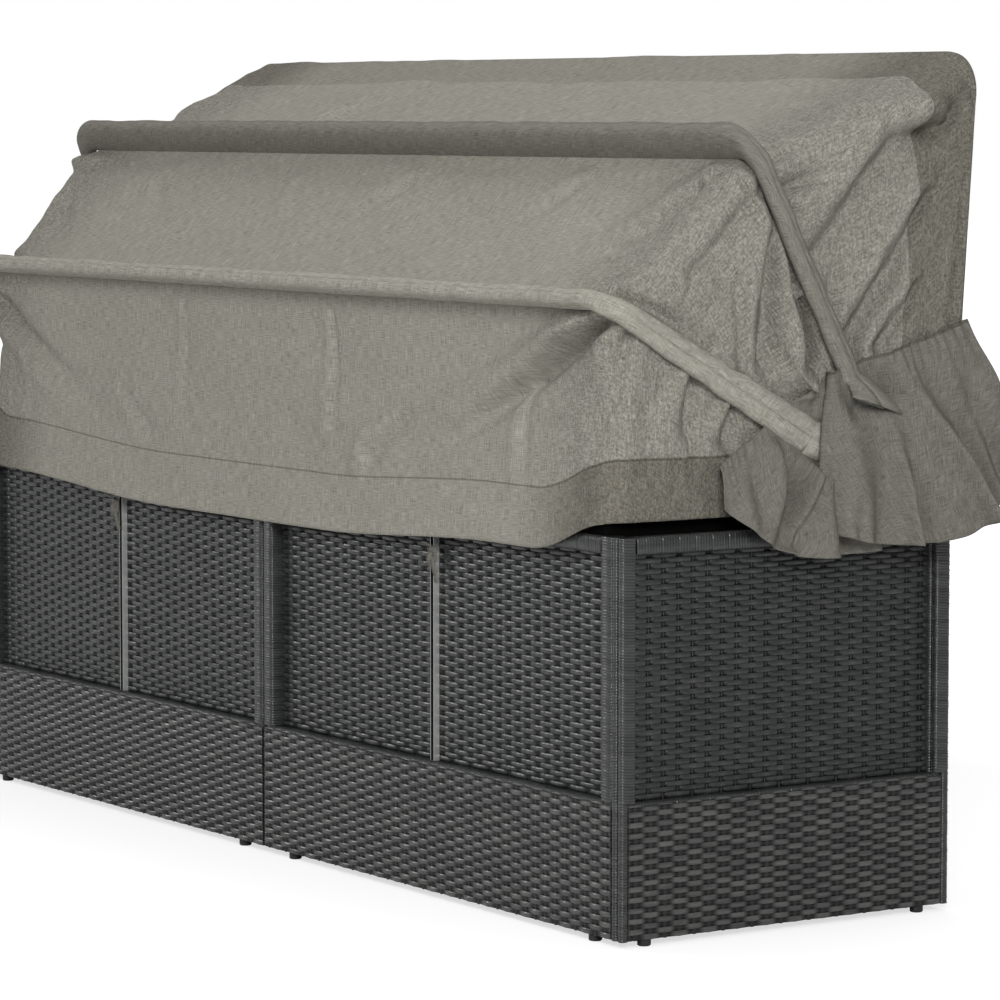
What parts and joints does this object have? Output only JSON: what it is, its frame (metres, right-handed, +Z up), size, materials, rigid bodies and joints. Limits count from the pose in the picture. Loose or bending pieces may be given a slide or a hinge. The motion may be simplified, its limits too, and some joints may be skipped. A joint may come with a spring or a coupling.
{
  "type": "outdoor daybed with canopy",
  "caption": "Wicker outdoor daybed with loose seat and back cushions and a folding cloth canopy on U-shaped bows that turn about one axis at the bench ends.",
  "frame": {"origin": "centre of the outline on the floor", "axes": "+X along the bench, +Y to its back, +Z up"},
  "size_m": [2.2448, 0.7264, 1.2883],
  "materials": {
    "wicker": "charcoal resin strand with a satin sheen",
    "bare_paint": "smooth charcoal powder coat",
    "glide_plastic": "moulded black",
    "zinc_steel": "zinc plated",
    "canopy_cloth": "taupe woven polyester",
    "cushion_cloth": "woven polyester, lighter than the canopy"
  },
  "bodies": {
    "bench": {"back_frame_left": "wicker", "back_upper_weave_left": "wicker", "back_lower_weave_left": "wicker", "side_frame_left": "wicker", "side_upper_weave_left": "wicker", "side_lower_weave_left": "wicker", "front_frame_left": "wicker", "front_weave_left": "wicker", "seat_deck_left": "wicker", "back_centre_bar_left": "bare_paint", "seat_frame_left": "bare_paint", "glide_back_outer_left": "glide_plastic", "glide_back_inner_left": "glide_plastic", "glide_front_outer_left": "glide_plastic", "glide_front_inner_left": "glide_plastic", "glide_side_rear_left": "glide_plastic", "glide_side_front_left": "glide_plastic", "seat_cushion_left": "cushion_cloth", "back_cushion_left": "cushion_cloth", "canopy_bracket_left": "zinc_steel", "pivot_bolt_left": "zinc_steel", "pivot_nut_left": "zinc_steel", "tie_ribbon_left": "canopy_cloth", "back_frame_right": "wicker", "back_upper_weave_right": "wicker", "back_lower_weave_right": "wicker", "side_frame_right": "wicker", "side_upper_weave_right": "wicker", "side_lower_weave_right": "wicker", "front_frame_right": "wicker", "front_weave_right": "wicker", "seat_deck_right": "wicker", "back_centre_bar_right": "bare_paint", "seat_frame_right": "bare_paint", "glide_back_outer_right": "glide_plastic", "glide_back_inner_right": "glide_plastic", "glide_front_outer_right": "glide_plastic", "glide_front_inner_right": "glide_plastic", "glide_side_rear_right": "glide_plastic", "glide_side_front_right": "glide_plastic", "seat_cushion_right": "cushion_cloth", "back_cushion_right": "cushion_cloth", "canopy_bracket_right": "zinc_steel", "pivot_bolt_right": "zinc_steel", "pivot_nut_right": "zinc_steel", "tie_ribbon_right": "canopy_cloth"},
    "rear_arch": {"rear_bow": "zinc_steel", "rear_sleeve": "canopy_cloth", "canopy_back_panel": "canopy_cloth", "flounce_rear_left": "canopy_cloth", "flounce_rear_right": "canopy_cloth"},
    "middle_arch": {"middle_bow": "zinc_steel", "middle_sleeve": "canopy_cloth", "canopy_middle_panel": "canopy_cloth"},
    "front_arch": {"front_bow": "zinc_steel", "front_sleeve": "canopy_cloth", "canopy_front_panel": "canopy_cloth", "flounce_front_left": "canopy_cloth", "flounce_front_right": "canopy_cloth"}
  },
  "joints": [
    {"name": "rear_bow_fold", "type": "hinge", "parent": "bench", "child": "rear_arch", "pos_m": [0, -0.17229, 0.632], "axis": [-1, 0, 0], "range_deg": [0, 26], "deforming": ["canopy_back_panel", "flounce_rear_left", "flounce_rear_right"]},
    {"name": "middle_bow_fold", "type": "hinge", "parent": "rear_arch", "child": "middle_arch", "pos_m": [0, -0.17229, 0.632], "axis": [-1, 0, 0], "range_deg": [0, 25], "deforming": ["canopy_middle_panel"]},
    {"name": "front_bow_fold", "type": "hinge", "parent": "middle_arch", "child": "front_arch", "pos_m": [0, -0.17229, 0.632], "axis": [-1, 0, 0], "range_deg": [0, 30], "deforming": ["canopy_front_panel", "flounce_front_left", "flounce_front_right"]}
  ]
}
